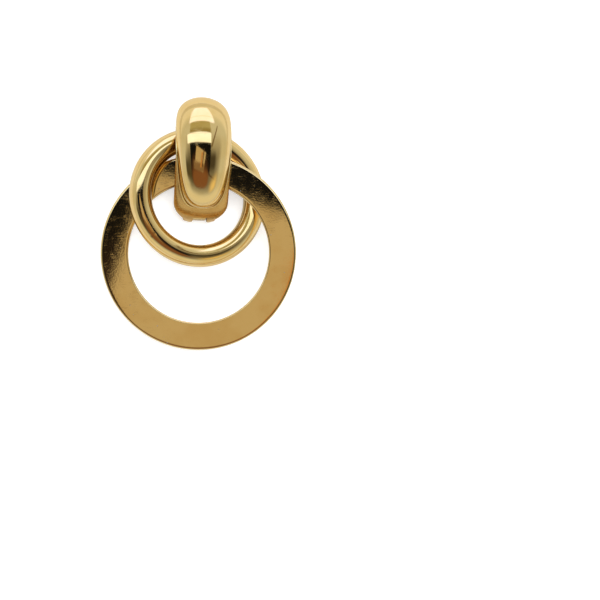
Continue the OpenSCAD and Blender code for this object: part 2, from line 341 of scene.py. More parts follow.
def metal_piece(name, points, faces, place=None, finish=None):
    """A smooth Blender object from points in millimetres, with its faces turned outwards."""
    mesh = bpy.data.meshes.new(name)
    mesh.from_pydata([tuple(p) for p in np.asarray(points) * MM], [], faces)
    if finish is not None:
        mesh.materials.append(finishes[finish])
    if place is not None:
        mesh.transform(place)
    bm = bmesh.new()
    bm.from_mesh(mesh)
    bmesh.ops.recalc_face_normals(bm, faces=bm.faces)
    bm.to_mesh(mesh)
    bm.free()
    mesh.shade_smooth()
    piece = bpy.data.objects.new(name, mesh)
    bpy.context.scene.collection.objects.link(piece)
    return piece


def placed(x, y, z, *turns):
    """The matrix of a place in millimetres followed by turns of (angle, axis)."""
    m = Matrix.Translation(Vector((x, y, z)) * MM)
    for angle, axis in turns:
        m = m @ Matrix.Rotation(angle, 4, axis)
    return m


print("a skin of 4 rings of 5 points has", len(skin_faces(4, 5)), "faces")

# %% [markdown]
# ## The round ring
# It is a drawn tube bent to a ring and soldered shut, then polished. A torus is that shape exactly.
# Hand polishing leaves the tube a little uneven, and the joint a tiny nick, so each point moves in
# or out by a few hundredths of a millimetre. On mirror metal that is enough to make highlights live.

# %% Round ring: its points
ROUND_R, TUBE_R = 13.5, 2.55
WAVE_THREE, WAVE_SEVEN, POLISHED_OFF = 0.012, 0.006, 0.014
NICK_TURN, NICK_TUBE = math.radians(220.5), math.radians(62)
NICK_DEEP, NICK_WIDE, NICK_LONG, NICK_LEAN = 0.05, 0.16, 0.75, 0.15


def soft_spot(distance, size):
    return np.exp(-((distance / size) ** 2))


def round_ring_points(rings=320, around=112):
    turn = np.linspace(0, 2 * math.pi, rings, endpoint=False)[:, None]
    tube = np.linspace(0, 2 * math.pi, around, endpoint=False)[None, :]
    uneven = (WAVE_THREE * np.sin(3 * turn + 1.1) * np.cos(tube + 0.4)
              + WAVE_SEVEN * np.sin(7 * turn) * np.sin(tube))
    along = (turn - NICK_TURN) * ROUND_R
    across = (tube - NICK_TUBE) * TUBE_R
    nick = NICK_DEEP * soft_spot(along - NICK_LEAN * across, NICK_WIDE) * soft_spot(across, NICK_LONG)
    r = TUBE_R - POLISHED_OFF + uneven - nick
    out = ROUND_R + r * np.cos(tube)
    points = np.stack([out * np.cos(turn), out * np.sin(turn), r * np.sin(tube) + 0 * turn], -1)
    return points.reshape(-1, 3), skin_faces(rings, around)


print("round ring:", len(round_ring_points()[0]), "points")

# %% Round ring: its place
ROUND_FALL, ROUND_Z, ROUND_X, ROUND_ABOVE_FOOT = 0.165, 4.84, -0.3, 5.3

ring_place = placed(ROUND_X, foot_y + ROUND_ABOVE_FOOT, ROUND_Z, (math.atan(ROUND_FALL), "Y"))
round_ring = metal_piece("round_tube_ring", *round_ring_points(), ring_place, "tube")
print("round ring:", len(round_ring.data.polygons), "faces")

# %% [markdown]
# ## The flat ring
# A ring punched from plate, bevelled round its front edge and buffed. Buffing softens both front
# edges, and those soft edges catch the fine pale lines round the plate, while its flat face mirrors
# the roof like a window pane. A bevel modifier would do, but a section drawn once, with its rounded
# corners, and then turned gives even rings of quads.

# %% Flat ring: its section
FLAT_R, FLAT_BAND, FLAT_T, EDGE = 22.3, 6.2, 1.4, 0.15
OUTER_WIDE, OUTER_DEEP, INNER_WIDE, INNER_DEEP = 0.5, 0.28, 0.42, 0.3
FACE_CUTS = 22


def corner(centre_r, centre_z, half_r, half_z, start, steps=8):
    """A quarter of an ellipse as section points (r, z), from the angle start in degrees."""
    angles = np.radians(start + np.linspace(0, 90, steps))
    return np.stack([centre_r + half_r * np.cos(angles), centre_z + half_z * np.sin(angles)], -1)


def flat_ring_section():
    inner, half = FLAT_R - FLAT_BAND, FLAT_T / 2
    front = corner(FLAT_R - OUTER_WIDE, half - OUTER_DEEP, OUTER_WIDE, OUTER_DEEP, 0)
    front_in = corner(inner + INNER_WIDE, half - INNER_DEEP, INNER_WIDE, INNER_DEEP, 90)
    back_in = corner(inner + EDGE, -half + EDGE, EDGE, EDGE, 180, 5)
    back = corner(FLAT_R - EDGE, -half + EDGE, EDGE, EDGE, 270, 5)
    face_r = np.linspace(FLAT_R - OUTER_WIDE, inner + INNER_WIDE, FACE_CUTS)[1:-1]
    face = np.stack([face_r, np.full(len(face_r), half)], -1)
    return np.concatenate([front, face, front_in, back_in, back])


def flat_ring_points(rings=420):
    section = flat_ring_section()
    turn = np.linspace(0, 2 * math.pi, rings, endpoint=False)[:, None]
    r, z = section[None, :, 0], section[None, :, 1]
    points = np.stack([r * np.cos(turn), r * np.sin(turn), z + 0 * turn], -1)
    return points.reshape(-1, 3), skin_faces(rings, len(section))


print("flat ring:", len(flat_ring_section()), "points round its section")

# %% Flat ring: its place, leaning with its lowest edge on the surface
FLAT_RISE_X, FLAT_RISE_Y, FLAT_BELOW_FOOT = 0.16, 0.03, 7.32

flat_tilt = math.atan(math.hypot(FLAT_RISE_X, FLAT_RISE_Y))
flat_z = (FLAT_R - EDGE) * math.sin(flat_tilt) + FLAT_T / 2 * math.cos(flat_tilt)
flat_turn = math.atan2(-FLAT_RISE_Y, -FLAT_RISE_X)
flat_place = placed(0, foot_y - FLAT_BELOW_FOOT, flat_z, (flat_turn, "Z"), (flat_tilt, "Y"))
flat_ring = metal_piece("flat_plate_ring", *flat_ring_points(), flat_place, "plate")
print("flat ring:", len(flat_ring.data.polygons), "faces")

# %% [markdown]
# ## The hoop
# The hoop is soldered from a band bent to a closed oval, a hollow domed petal, a thin bead round the
# petal's foot and two hinge ears. Each is a skin of its own here, and later they are joined and cut,
# as a solderer and a file would do it. First comes the oval, as it is seen from the side: half an
# oval that leans to the top, two rear corners and a straight rear bar.

# %% The oval of the band, seen from the side
BAND_LEN, BAND_FRONT, BAND_LEAN, CORNER_R, PADDLE_T = 27.5, 10.6, 2.6, 1.4, 0.7

bar_z = PADDLE_T + LIFT
corner_z = bar_z + CORNER_R
half_len = BAND_LEN / 2
front_rise = BAND_FRONT - corner_z


def normal_at(p):
    """Angle from +Z of the front's outward normal, at a turn p from the foot to the top."""
    return math.atan2(front_rise * math.sin(p), math.cos(p) * (half_len - 2 * BAND_LEAN * math.sin(p)))


def on_front(p, rise=0.0):
    """A point (y, z) of the front half oval, raised along its normal."""
    a = normal_at(p)
    return np.array([half_len + half_len * math.sin(p) + BAND_LEAN * math.cos(p) ** 2 + rise * math.sin(a),
                     corner_z + front_rise * math.cos(p) + rise * math.cos(a)])


def turn_at(y):
    """The turn at which the front passes a length y from its foot."""
    root = math.sqrt(half_len**2 + 4 * BAND_LEAN * (BAND_LEAN + half_len - y))
    return math.asin((half_len - root) / (2 * BAND_LEAN))


def on_corner(y, a):
    return np.array([y + CORNER_R * math.sin(a), corner_z + CORNER_R * math.cos(a)])


print("the front is highest at", np.round(on_front(0), 2), "mm from the foot")

# %% [markdown]
# ### The band's stations, width and section
# The real band is a strip of brass formed over a mandrel. A swept curve could copy that, but its
# width and its crown change all the way round. So the strip is cut across at many stations, and each
# section is worked out from where it stands: wide and crowned in front, narrow and flat at the rear.

# %% Stations round the oval
BAR_FROM = math.radians(35)


def bar_share(a):
    """Share of the rear bar in the band, from the angle of its normal."""
    return max(0.0, (abs(a) - BAR_FROM) / (math.pi - BAR_FROM))


def band_stations(front=200, corner_steps=26, rear=40):
    """Stations round the oval: y, z, angle of the outward normal, share of the rear bar."""
    quarter, out = math.pi / 2, []
    for i in range(front):
        p = quarter - 2 * quarter * i / front
        out.append((*on_front(p), normal_at(p), bar_share(normal_at(p))))
    for i in range(corner_steps):
        a = -quarter - quarter * i / corner_steps
        out.append((*on_corner(CORNER_R, a), a, bar_share(a)))
    for i in range(rear):
        out.append((CORNER_R + (BAND_LEN - 2 * CORNER_R) * i / rear, bar_z, -math.pi, 1.0))
    for i in range(corner_steps):
        a = math.pi - quarter * i / corner_steps
        out.append((*on_corner(BAND_LEN - CORNER_R, a), a, bar_share(a)))
    return out


print("the band has", len(band_stations()), "stations")

# %% The band's width
BAND_W, BAR_W, FOOT_ROUND, FOOT_LEAST, TOP_ROUND, FOOT_REAR_ROUND = 12.5, 4.4, 2.6, 2.6, 6.1, 1.7
SLOT_W, EAR_T, FOOT_INSIDE_EARS = 3.3, 2.3, 0.35
NARROW_Y, NARROW_RUN = 3, 5
foot_half = SLOT_W / 2 + EAR_T - FOOT_INSIDE_EARS


def smooth(t):
    c = np.clip(t, 0, 1)
    return c * c * (3 - 2 * c)


def round_in(d, r):
    """How far a round end of radius r lies inside, at a depth d from the end."""
    return 0.0 if d >= r else r - math.sqrt(max(0.0, r * r - (r - d) ** 2))


def at_least(a, b):
    """The larger of two widths, with a soft change from one to the other."""
    return (max(a, 0.0) ** 6 + b**6) ** (1 / 6)


def band_half(y, share):
    """Half the band's width at a length y from its foot, for a share of the rear bar."""
    if y < half_len:
        front = at_least(BAND_W / 2 - round_in(y, FOOT_ROUND), FOOT_LEAST)
    else:
        front = at_least(BAND_W / 2 - round_in(BAND_LEN - y, TOP_ROUND), BAR_W / 2)
    narrowing = (BAR_W / 2 - foot_half) * smooth((y - NARROW_Y) / NARROW_RUN)
    rear = foot_half - round_in(y, FOOT_REAR_ROUND) + narrowing
    return front + (rear - front) * share


print("half the band's width at the foot, midway and at the top:",
      [round(float(band_half(y, 0)), 2) for y in (0, half_len, BAND_LEN)])

# %% The band's section and its skin
BAND_T, BAR_T, BAND_CROWN, CROWN_Y, CROWN_RUN, CROWN_FADE = 0.9, 0.7, 1.8, 16, 8, 3


def band_section(half, wall, fall, cuts=36, edge_in=0.12, follow=0.75):
    """The band cut across, as x and depth below its middle line: rounded outside, flatter inside."""
    a = np.linspace(0, math.pi, cuts)
    outer = np.stack([half * np.cos(a), fall * (1 - np.sin(a))], -1)
    u = np.linspace(-1, 1, cuts // 2)
    inner = np.stack([(half - edge_in) * u, wall + follow * fall * u**2], -1)
    return np.concatenate([outer, inner])


def band_points():
    points, stations = [], band_stations()
    for y, z, angle, share in stations:
        fall = EDGE + (BAND_CROWN - EDGE) * smooth((CROWN_Y - y) / CROWN_RUN) * (1 - share) ** CROWN_FADE
        section = band_section(band_half(y, share), BAND_T + (BAR_T - BAND_T) * share, fall)
        for x, depth in section:
            points.append((x, y - depth * math.sin(angle), z - depth * math.cos(angle)))
    return points, skin_faces(len(stations), len(section))


hoop_place = placed(hoop_x, foot_y, 0)
band = metal_piece("hoop_band", *band_points(), hoop_place, "band")
print("band:", len(band.data.polygons), "faces")

# %% [markdown]
# ### The domed petal
# The petal is stamped from sheet: wide above, drawn in to a fuller, blunter tip below, and bent along
# the band. A subdivided lump would be near it, but a mirror asks for an exact form. So it is an egg:
# its half width is a power of a sine, blunter towards the tip, and its rings stand on the band's oval.

# %% The outline of the egg
DOME_W, TIP_Y, TOP_Y = 12.4, 3.0, 26.6
EGG_BIAS, TIP_BLUNT, TOP_BLUNT = 0.16, 0.6, 0.7
MARGIN_FROM, MARGIN_RUN, MARGIN_CLOSE = 75, 40, 140
TIP_TURN = math.radians(5.5)
egg_top, egg_tip = turn_at(TOP_Y), turn_at(TIP_Y)
egg_mid, egg_span = (egg_top + egg_tip) / 2, (egg_top - egg_tip) / 2


def egg_margin(margin, t):
    """The bead's margin starts below the egg's widest place and closes at its tip."""
    closing = math.sqrt(math.sin(math.radians(t)) / math.sin(math.radians(MARGIN_CLOSE)))
    return margin * smooth((t - MARGIN_FROM) / MARGIN_RUN) * min(1.0, closing)


def egg_half(width, t):
    """Half the egg's width: blunter and fuller towards its tip than towards its top."""
    s, c = math.sin(math.radians(t)), math.cos(math.radians(t))
    if t > 90:
        return width / 2 * (s**TIP_BLUNT * (1 + EGG_BIAS * c * (1 + c)))
    return width / 2 * (s**TOP_BLUNT * (1 + EGG_BIAS * c))


def egg_turn(margin, trim, t):
    """The turn of the front at t degrees from the egg's top end."""
    c = math.cos(math.radians(t))
    return egg_mid + (egg_span - trim) * c + (TIP_TURN * margin * c if t > 90 else 0)


print("half the egg's width above, midway and below:", [round(egg_half(DOME_W, t), 2) for t in (30, 90, 150)])

# %% The domed petal and its hollow
DOME_H, DOME_WALL, DOME_SEAT, DOME_BELLY = 3.5, 1.0, 0.5, 3.4
BELLY_END, BELLY_RUN = 50, 40
HOLLOW_IN, HOLLOW_DEEP, HOLLOW_TRIM = 0.3, 2.6, math.radians(3)


def egg_ring(width, height, depth, belly, trim, t, around):
    """The egg cut across at t degrees from its top end."""
    s = math.sin(math.radians(t))
    f = np.linspace(0, 2 * math.pi, around, endpoint=False)
    high = height * s**0.5
    deep = (depth + belly * smooth((BELLY_END - t) / BELLY_RUN)) * math.sqrt(s)
    rise = np.where(np.sin(f) >= 0, high, deep) * np.sin(f)
    p = egg_turn(0, trim, t)
    (y, z), a = on_front(p), normal_at(p)
    return np.stack([egg_half(width, t) * np.cos(f), y + rise * math.sin(a), z + rise * math.cos(a)], -1)


def egg_points(width, height, depth, belly, trim=0.0, rings=150, around=120):
    """Rings crowd together at both ends, where the egg turns fastest."""
    ts = [90 * (1 - math.cos(math.pi * (i + 1) / (rings + 1))) for i in range(rings)]
    body = np.concatenate([egg_ring(width, height, depth, belly, trim, t, around) for t in ts])
    ends = [[0, *on_front(egg_turn(0, trim, t))] for t in (0, 180)]
    faces = skin_faces(rings, around, closed=False)
    last = (rings - 1) * around
    for j in range(around):
        k = (j + 1) % around
        faces += [(rings * around, k, j), (rings * around + 1, last + j, last + k)]
    return np.concatenate([body, ends]), faces


dome = metal_piece("hoop_dome", *egg_points(DOME_W, DOME_H, DOME_SEAT, DOME_BELLY), hoop_place, "dome")
hollow_w, hollow_h = DOME_W - 2 * (DOME_WALL + HOLLOW_IN), DOME_H - DOME_WALL
hollow_skin = egg_points(hollow_w, hollow_h, HOLLOW_DEEP, 0, HOLLOW_TRIM, rings=70, around=64)
hollow = metal_piece("hollow_tool", *hollow_skin, hoop_place)
print("dome:", len(dome.data.polygons), "faces")

# %% [markdown]
# ### The bead round the petal's foot
# A thin wire is soldered along the joint of petal and band, and it shines as a fine line. A curve
# with a bevel would do it, but here the wire swells out of the joint at the sides and is higher than
# wide. So it is a fine oval tube of its own, carried along the egg's outline.

# %% The bead round the petal's foot
RIM_W, BEAD_OUT, BEAD_TURN, BEAD_SINK = 0.35, 0.4, 0.75, 0.06
BEAD_START, BEAD_SWELL, BEAD_THIN, BEAD_CROWD = 76, 34, 0.15, 1.6
BEAD_HALF_W, BEAD_HALF_H = 0.24, 0.46


def bead_path(steps):
    """Places along the bead: x, y, z, angle of the front's normal, growth from thin to full."""
    path = []
    for u in np.linspace(-1, 1, steps):
        t = 180 - (180 - BEAD_START) * abs(u) ** BEAD_CROWD
        side = 1 if u < 0 else -1
        p = egg_turn(BEAD_TURN * RIM_W, 0, t)
        x = side * (egg_half(DOME_W, t) + BEAD_OUT * egg_margin(RIM_W, t))
        path.append((x, *on_front(p, -BEAD_SINK), normal_at(p), smooth((t - BEAD_START) / BEAD_SWELL)))
    return np.array(path)


def bead_points(steps=200, around=20):
    """A fine tube along the egg's outline, from one side round the tip to the other."""
    path, points = bead_path(steps), []
    for i, (x, y, z, a, grow) in enumerate(path):
        before, after = path[max(i - 1, 0), :3], path[min(i + 1, steps - 1), :3]
        along = Vector(after - before).normalized()
        up = Vector((0, math.sin(a), math.cos(a)))
        side = along.cross(up).normalized()
        up = side.cross(along).normalized()
        size = BEAD_THIN + (1 - BEAD_THIN) * grow
        for f in np.linspace(0, 2 * math.pi, around, endpoint=False):
            wide, high = BEAD_HALF_W * size * math.cos(f), BEAD_HALF_H * size * math.sin(f)
            points.append(tuple(Vector((x, y, z)) + side * wide + up * high))
    return points, skin_faces(steps, around, closed=False) + end_faces(steps, around)


bead = metal_piece("hoop_bead", *bead_points(), hoop_place, "bead")
print("bead:", len(bead.data.polygons), "faces")

# %% [markdown]
# ### The hinge ears
# Two round lobes at the hoop's foot hold the clip's pin. Lobes like these are cast or turned, and
# polishing rounds them most on the outside. A profile turned about the hinge line is the shape, with
# a small lip on the inside edge and a quarter of an ellipse on the outside.

# %% The hinge ears
EAR_LIP, EAR_REACH = 0.35, 1.5


def turned(profile, steps):
    """A profile of (radius, height) turned about Z, both ends closed on the axis."""
    body = [(r * math.cos(a), r * math.sin(a), h) for r, h in profile
            for a in np.linspace(0, 2 * math.pi, steps, endpoint=False)]
    return body, skin_faces(len(profile), steps, closed=False) + end_faces(len(profile), steps)


def ear_profile():
    """Round on the inside edge and, over a longer way, on the outside."""
    inner = SLOT_W / 2
    inside = [(EAR_R - EAR_LIP * (1 - math.sin(a)), inner + EAR_LIP * (1 - math.cos(a)))
              for a in np.linspace(0, math.pi / 2, 7)]
    outside = [(EAR_R * math.cos(a), inner + EAR_LIP + (EAR_T - EAR_LIP) * math.sin(a))
               for a in np.linspace(0, EAR_REACH, 26)[1:]]
    return inside + outside


def across(side=1):
    """The place of the hinge line, with the turning axis laid along X."""
    return placed(hoop_x, foot_y + hinge_y, hinge_z, (side * math.pi / 2, "Y"))


ears = [metal_piece(f"hoop_ear_{n}", *turned(ear_profile(), 88), across(side), "dome")
        for n, side in enumerate((1, -1))]
print("ears:", [len(ear.data.polygons) for ear in ears], "faces")

# %% [markdown]
# ### The cutting tools
# The slot between the ears is sawn and the pin's bore is drilled. Blocks and cylinders stand for the
# saw, the cutter and the drill. The saw and the cutter get slightly different widths, because two
# tools whose sides lie in one plane can leave a torn seam.

# %% The cutting tools
PIN_R, KNUCKLE_R, SIDE_GAP, SLOT_TOP = 0.45, 0.95, 0.15, 4.4
SAW_SPARE, CUTTER_SPARE, TOOL_OVER = 0.01, 0.02, 0.5


def block(name, low, high, place):
    points = [(x, y, z) for x in (low[0], high[0]) for y in (low[1], high[1]) for z in (low[2], high[2])]
    sides = [(0, 1, 3, 2), (4, 6, 7, 5), (0, 4, 5, 1), (2, 3, 7, 6), (0, 2, 6, 4), (1, 5, 7, 3)]
    return metal_piece(name, points, sides, place)


def cylinder(name, r, half, steps):
    """A cylinder along the hinge line."""
    return metal_piece(name, *turned([(r, -half), (r, half)], steps), across())


pin_half = SLOT_W / 2 + EAR_T
saw_half = SLOT_W / 2 + SAW_SPARE
swing_r = math.hypot(KNUCKLE_R, hinge_z) + SIDE_GAP
swing_cut = cylinder("swing_tool", swing_r, SLOT_W / 2 + CUTTER_SPARE, 97)
bore = cylinder("bore_tool", PIN_R, pin_half + TOOL_OVER, 48)
slot_cut = block("slot_tool", (-saw_half, -1, hinge_z), (saw_half, hinge_y, SLOT_TOP), hoop_place)
print(f"the slot is {2 * saw_half:.2f} mm wide and the clip swings inside a radius of {swing_r:.2f} mm")

# %% [markdown]
# ## Joining and cutting
# A boolean does what solder and file do. The skins are closed and finely divided, so the joints come
# out clean, and edges sharper than a chosen angle stay crisp while all the rest is shaded smooth.

# %% Helpers for joining and cutting
def settle(piece):
    """Applies the piece's modifiers to its mesh."""
    graph = bpy.context.evaluated_depsgraph_get()
    final = piece.evaluated_get(graph)
    made = bpy.data.meshes.new_from_object(final, preserve_all_data_layers=True, depsgraph=graph)
    piece.modifiers.clear()
    piece.data = made


def worked(piece, others, operation):
    """Joins to the piece, or cuts from it, each of the others, which are then gone."""
    for other in others:
        mod = piece.modifiers.new("work", "BOOLEAN")
        mod.operation, mod.object, mod.solver, mod.material_mode = operation, other, "EXACT", "TRANSFER"
        settle(piece)
        bpy.data.objects.remove(other)


def crisp(piece, angle):
    """Smooth shading, except over edges sharper than the angle."""
    bm = bmesh.new()
    bm.from_mesh(piece.data)
    for edge in bm.edges:
        edge.smooth = not (len(edge.link_faces) == 2 and edge.calc_face_angle(0) > math.radians(angle))
    for face in bm.faces:
        face.smooth = True
    bm.to_mesh(piece.data)
    bm.free()


def tidied(piece, near=0.0008):
    """Merges points left almost on each other by the cuts, and counts the open edges left."""
    bm = bmesh.new()
    bm.from_mesh(piece.data)
    bmesh.ops.remove_doubles(bm, verts=bm.verts, dist=near * MM)
    bmesh.ops.dissolve_degenerate(bm, edges=bm.edges, dist=near * MM)
    open_edges = sum(len(edge.link_faces) != 2 for edge in bm.edges)
    bm.to_mesh(piece.data)
    bm.free()
    return open_edges


print("to join to the band:", [part.name for part in (dome, bead, *ears)])

# %% The hoop, joined and cut
HOOP_CRISP = 34

hoop = band
hoop.name = "domed_hoop"
worked(hoop, [dome, bead, *ears], "UNION")
worked(hoop, [hollow, slot_cut, swing_cut, bore], "DIFFERENCE")
print("hoop:", len(hoop.data.polygons), "faces,", tidied(hoop), "open edges, finishes",
      [m.name for m in hoop.data.materials if m])
crisp(hoop, HOOP_CRISP)

# %% [markdown]
# ## The clip paddle
# The paddle is a stamped plate, a narrow tongue that widens to an oval pad, with a knuckle rolled at
# its end. It is mostly hidden, but it is made as carefully as the rest, since the earring is also
# looked at from behind. Its sharp edges are the one place where a bevel modifier is the short way.

# %% Clip paddle: the plate
PADDLE_W, PADDLE_LEN, NECK_PAST_EAR = 10.4, 23.0, 0.3
tongue_half = SLOT_W / 2 - SIDE_GAP


def paddle_outline():
    neck, pad = EAR_R + NECK_PAST_EAR, PADDLE_LEN - PADDLE_W / 2
    side = [(tongue_half, -KNUCKLE_R), (tongue_half, neck)]
    side += [(tongue_half + (PADDLE_W / 2 - tongue_half) * s, neck + (pad - neck) * s)
             for s in np.linspace(0, 1, 12)[1:-1]]
    side += [(PADDLE_W / 2 * math.cos(a), pad + PADDLE_W / 2 * math.sin(a))
             for a in np.linspace(0, math.pi / 2, 30)]
    return side + [(-x, y) for x, y in reversed(side[:-1])]


def paddle_plate():
    outline = paddle_outline()
    n = len(outline)
    points = [(x, y + hinge_y, z) for z in (0, PADDLE_T) for x, y in outline]
    walls = [(i, (i + 1) % n, n + (i + 1) % n, n + i) for i in range(n)]
    return points, end_faces(2, n) + walls


paddle = metal_piece("clip_paddle_plate", *paddle_plate(), hoop_place, "clip")
print("paddle plate:", len(paddle.data.polygons), "faces")

# %% Clip paddle: the knuckle and the soft edges
RUN_GAP, EYE_OVER = 0.05, 1
SOFT_WIDTH, SOFT_CUTS, SOFT_ANGLE, PADDLE_CRISP = 0.09, 3, 50, 40


def soften(piece, width, segments, angle):
    """Breaks the sharp edges, as polishing does."""
    mod = piece.modifiers.new("soft_edges", "BEVEL")
    mod.width, mod.segments, mod.limit_method = width * MM, segments, "ANGLE"
    mod.angle_limit, mod.use_clamp_overlap = math.radians(angle), True
    settle(piece)


barrel = cylinder("barrel_tool", KNUCKLE_R, tongue_half, 64)
web = block("web_tool", (-tongue_half, hinge_y - KNUCKLE_R, 0),
            (tongue_half, hinge_y + KNUCKLE_R, hinge_z), hoop_place)
eye = cylinder("eye_tool", PIN_R + RUN_GAP, tongue_half + EYE_OVER, 48)
worked(paddle, [web, barrel], "UNION")
worked(paddle, [eye], "DIFFERENCE")
soften(paddle, SOFT_WIDTH, SOFT_CUTS, SOFT_ANGLE)
crisp(paddle, PADDLE_CRISP)
print("paddle:", len(paddle.data.polygons), "faces")

# %% [markdown]
# ## The hinge pin
# A short wire is pushed through both ears and the knuckle, and its ends are rounded over so that it
# stays. Like the ears it is a turned profile, with a quarter of a circle at each end.

# %% Hinge pin
PIN_ROUND = 0.12

pin_end = [(PIN_R - PIN_ROUND + PIN_ROUND * math.cos(a), pin_half - PIN_ROUND + PIN_ROUND * math.sin(a))
           for a in np.linspace(0, math.pi / 2, 6)]
pin_profile = [(r, -h) for r, h in reversed(pin_end)] + pin_end
pin = metal_piece("hinge_pin_wire", *turned(pin_profile, 48), across(), "clip")
crisp(pin, PADDLE_CRISP)
print("pin:", len(pin.data.polygons), "faces")

# %% [markdown]
# ## Dressing the frame
# Each piece rides on the body that carries it, and stands for its plain solid. Only the paddle rides
# on the clip: the rings lie loose and the pin sits tight in the ears, so those stay with the earring.

# %% Dressing the frame
for piece, body, node, slot in (
        (hoop, "earring", "hoop", "polished_gold"), (round_ring, "earring", "round_ring", "polished_gold"),
        (flat_ring, "earring", "flat_ring", "flat_gold"), (paddle, "clip", "clip_paddle", "polished_gold"),
        (pin, "earring", "hinge_pin", "flat_gold")):
    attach(piece, body)
    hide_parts(node)
    low, high = (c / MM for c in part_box(node))
    corners = np.array([v.co[:] for v in piece.data.vertices]) / MM
    below, above = np.maximum(low - Vector(corners.min(0)), 0), np.maximum(Vector(corners.max(0)) - high, 0)
    print(piece.name, "stands out of its solid by", np.round(below, 3), np.round(above, 3), "mm")

# %% [markdown]
# ## The studio
# The earring lies on white paper under the roof of a light tent. Polished metal shows that roof: two
# bright strips with a dull panel between them, a dark opening where the camera looks in, and in it
# the lit and the shaded parts of what stands behind the camera. Paper and roof are level sheets that
# belong to the stage. First the paper: it is white to the camera, with its shadows lifted by a little
# light of its own, and grey to the metal. From below it lets the eye through.

# %% Helpers for the stage
STAGE_HALF = 1500


def stage_sheet(name, half, height, material):
    """A level square sheet of a half side and a height in millimetres, facing up."""
    mesh = bpy.data.meshes.new(name)
    corners = [(-half, -half), (half, -half), (half, half), (-half, half)]
    mesh.from_pydata([(x * MM, y * MM, height * MM) for x, y in corners], [], [(0, 1, 2, 3)])
    mesh.materials.append(material)
    sheet = bpy.data.objects.new(name, mesh)
    bpy.context.scene.collection.objects.link(sheet)
    return sheet


def new_material(name):
    mat = bpy.data.materials.new(name)
    mat.use_nodes = True
    return mat, mat.node_tree


print("the stage is", 2 * STAGE_HALF, "mm wide")

# %% Paper
PAPER_WHITE, PAPER_TO_METAL = (0.62, 0.62, 0.62, 1), (0.42, 0.41, 0.38, 1)
PAPER_LIGHT, CAMERA_LIGHT = 0.18, 0.38
PAPER_Z = -0.03

paper, tree = new_material("white_paper")
shader, out = tree.nodes["Principled BSDF"], tree.nodes["Material Output"]
shader.inputs["Roughness"].default_value = 0.9
shader.inputs["Specular IOR Level"].default_value = 0.1
shader.inputs["Emission Color"].default_value = (1, 1, 1, 1)
to_camera = add(tree, "LightPath").outputs["Is Camera Ray"]
shade = add(tree, "Mix", {0: to_camera, 6: PAPER_TO_METAL, 7: PAPER_WHITE}, data_type="RGBA")
own_light = math_node(tree, "ADD", math_node(tree, "MULTIPLY", to_camera, CAMERA_LIGHT), PAPER_LIGHT)
feed(tree, shader.inputs["Base Color"], shade.outputs[2])
feed(tree, shader.inputs["Emission Strength"], own_light)
from_below, clear = add(tree, "NewGeometry").outputs["Backfacing"], add(tree, "BsdfTransparent")
mix = add(tree, "MixShader", {0: from_below, 1: shader.outputs[0], 2: clear.outputs[0]})
feed(tree, out.inputs["Surface"], mix.outputs[0])
floor = stage_sheet("paper_floor", STAGE_HALF, PAPER_Z, paper)
print(floor.name, "lies at", PAPER_Z, "mm")

# %% [markdown]
# ### A soft-edged patch
# The roof is lit and shaded in patches with soft edges. Real lamps and cards would do, but each would
# also light the paper and be hard to place. A painted patch is easier: the distance to a rectangle
# with round corners, turned about its middle, is made into a mask.

# %% Group: a soft-edged patch
patch, p_in, p_out = group(
    "soft_patch",
    [("Place", VECTOR, (0, 0, 0)), ("Middle", VECTOR, (0, 0, 0)), ("Half", VECTOR, (1, 1, 0)),
     ("Turn", FLOAT, 0.0), ("Round", FLOAT, 1.0), ("Soft", FLOAT, 1.0)], [("Mask", FLOAT)])
shift = add(patch, "VectorMath", {0: p_in.outputs["Place"], 1: p_in.outputs["Middle"]}, operation="SUBTRACT")
turned_back = add(patch, "VectorRotate", {"Vector": shift.outputs[0], "Angle": p_in.outputs["Turn"]},
                  rotation_type="Z_AXIS", invert=True)
apart = add(patch, "SeparateXYZ", {0: turned_back.outputs[0]})
half_xy = add(patch, "SeparateXYZ", {0: p_in.outputs["Half"]})
past = []
for axis in (0, 1):
    from_middle = math_node(patch, "ABSOLUTE", apart.outputs[axis])
    outside = math_node(patch, "SUBTRACT", from_middle, half_xy.outputs[axis])
    past.append(math_node(patch, "ADD", outside, p_in.outputs["Round"]))
legs = [math_node(patch, "POWER", math_node(patch, "MAXIMUM", axis_past, 0.0), 2.0) for axis_past in past]
corner_far = math_node(patch, "SQRT", math_node(patch, "ADD", *legs))
deep_in = math_node(patch, "MINIMUM", math_node(patch, "MAXIMUM", *past), 0.0)
edge_far = math_node(patch, "SUBTRACT", math_node(patch, "ADD", corner_far, deep_in), p_in.outputs["Round"])
soft_in, soft_out = (math_node(patch, "MULTIPLY", p_in.outputs["Soft"], share) for share in (-0.5, 0.5))
feed(patch, p_out.inputs["Mask"], between(patch, edge_far, soft_in, soft_out, 1.0, 0.0))
print(patch.name, "has", len(patch.nodes), "nodes")

# %% [markdown]
# ### The tent's roof
# The flat ring mirrors the roof as a window pane does, and the dome squeezes all of it into its
# middle, so one painting serves both. The patches are laid one over the other, from the wide glow of
# the tent down to thin seams. The roof is hidden from the camera and from the paper, so it only
# shows in the metal.

